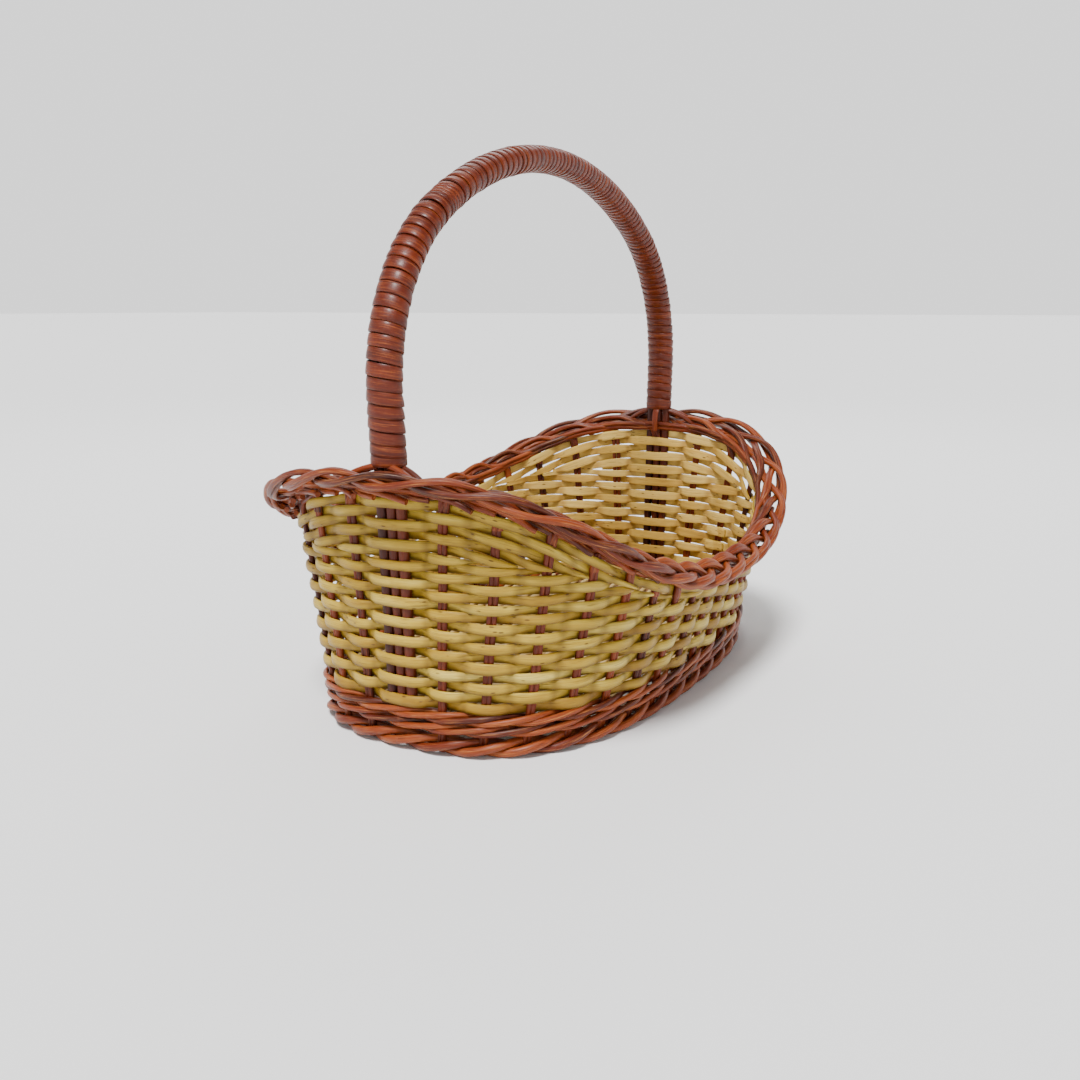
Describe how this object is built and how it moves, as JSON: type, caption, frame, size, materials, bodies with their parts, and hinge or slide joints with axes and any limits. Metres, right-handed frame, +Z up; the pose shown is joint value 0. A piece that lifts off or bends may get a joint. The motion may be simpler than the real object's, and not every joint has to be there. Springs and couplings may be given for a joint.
{
  "type": "woven market basket",
  "caption": "Oval willow market basket with a saddle-shaped plaited rim, woven wall and base, and a fixed arched handle wrapped in cane.",
  "frame": {"origin": "on the table, under the middle of the basket", "axes": "+Z up; Y along the basket's length and in the handle's plane, with the handle's feet at -Y and +Y; X across it"},
  "size_m": [0.2771, 0.4052, 0.3383],
  "materials": {
    "split_willow": "satin split willow, olive to straw yellow, natural skin outside and pale pith inside",
    "stained_willow": "satin red-brown stained willow rods",
    "wrap_cane": "glossy red-brown flat cane",
    "base_willow": "satin straw-coloured willow",
    "base_sticks": "matt brown willow sticks"
  },
  "bodies": {
    "root": {"base_cross_stick_1": "base_sticks", "base_cross_stick_2": "base_sticks", "base_cross_stick_3": "base_sticks", "base_cross_stick_4": "base_sticks", "base_cross_stick_5": "base_sticks", "base_cross_stick_6": "base_sticks", "base_cross_stick_7": "base_sticks", "base_cross_stick_8": "base_sticks", "base_cross_stick_9": "base_sticks", "base_long_stick_1": "base_sticks", "base_long_stick_2": "base_sticks", "base_long_stick_3": "base_sticks", "base_weave": "base_willow", "border_strand_1": "stained_willow", "border_strand_2": "stained_willow", "border_strand_3": "stained_willow", "foot_strand_1": "stained_willow", "foot_strand_2": "stained_willow", "handle_bow_rod_1": "stained_willow", "handle_bow_rod_2": "stained_willow", "handle_bow_rod_3": "stained_willow", "handle_packing_inner": "stained_willow", "handle_packing_outer": "stained_willow", "handle_wrap": "wrap_cane", "level_row_01": "split_willow", "level_row_02": "split_willow", "level_row_03": "split_willow", "level_row_04": "split_willow", "level_row_05": "split_willow", "level_row_06": "split_willow", "level_row_07": "split_willow", "level_row_08": "split_willow", "level_row_09": "split_willow", "level_row_10": "split_willow", "level_row_11": "split_willow", "level_row_12": "split_willow", "level_row_13": "split_willow", "level_row_14": "split_willow", "level_row_15": "split_willow", "slant_row_1": "split_willow", "slant_row_2": "split_willow", "slant_row_3": "split_willow", "slant_row_4": "split_willow", "slant_row_5": "split_willow", "slant_row_6": "split_willow", "stakes_1": "stained_willow", "stakes_2": "stained_willow", "stakes_3": "stained_willow", "stakes_4": "stained_willow", "stakes_5": "stained_willow", "stakes_6": "stained_willow", "stakes_7": "stained_willow", "stakes_8": "stained_willow", "stakes_side": "stained_willow", "wale_round_1_strand_1": "stained_willow", "wale_round_1_strand_2": "stained_willow", "wale_round_1_strand_3": "stained_willow", "wale_round_2_strand_1": "stained_willow", "wale_round_2_strand_2": "stained_willow", "wale_round_2_strand_3": "stained_willow"}
  },
  "joints": []
}
